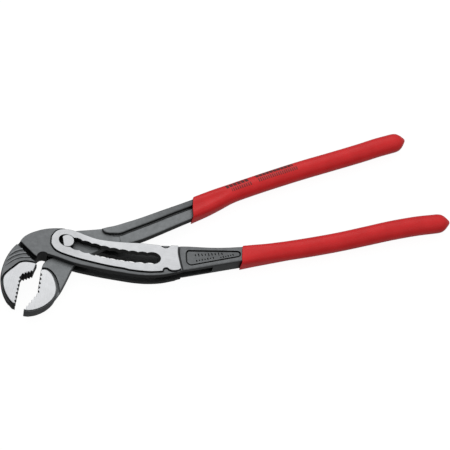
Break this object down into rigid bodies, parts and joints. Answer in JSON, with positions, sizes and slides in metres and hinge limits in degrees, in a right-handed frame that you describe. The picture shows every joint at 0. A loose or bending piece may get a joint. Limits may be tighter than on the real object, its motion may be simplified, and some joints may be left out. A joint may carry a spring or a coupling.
{
  "type": "tongue and groove pliers",
  "caption": "Slip-joint water pump pliers lying flat: hook jaw and slotted box arm, inner arm through it, joint bolt, dipped grips.",
  "frame": {"origin": "on the joint bolt's axis, in the plane of the ground back faces that the tool lies on", "axes": "+X along the slotted arm's grip, from the jaws to the handle end; +Y from that grip towards the other one; +Z through the thickness, up when the tool lies flat"},
  "size_m": [0.3075, 0.0844, 0.0152],
  "materials": {
    "forged_steel": "dark grey, satin, on forged steel",
    "ground_steel": "bright ground faces with fine scratches",
    "grip_red": "soft red dip, satin gloss"
  },
  "bodies": {
    "slotted_arm_body": {"slotted_arm": "forged_steel", "lower_grip": "grip_red"},
    "joint_bolt_body": {"joint_bolt": "ground_steel"},
    "inner_arm_body": {"inner_arm": "forged_steel", "upper_grip": "grip_red"}
  },
  "joints": [
    {"name": "bolt_in_slot", "type": "hinge", "parent": "slotted_arm_body", "child": "joint_bolt_body", "pos_m": [0.08646, 0.12257, 0.0076], "axis": [0, 0, 1], "range_deg": [0, 21.48]},
    {"name": "arm_pivot", "type": "hinge", "parent": "joint_bolt_body", "child": "inner_arm_body", "pos_m": [0, 0, 0.0076], "axis": [0, 0, 1], "range_deg": [-6.4, 60]}
  ]
}
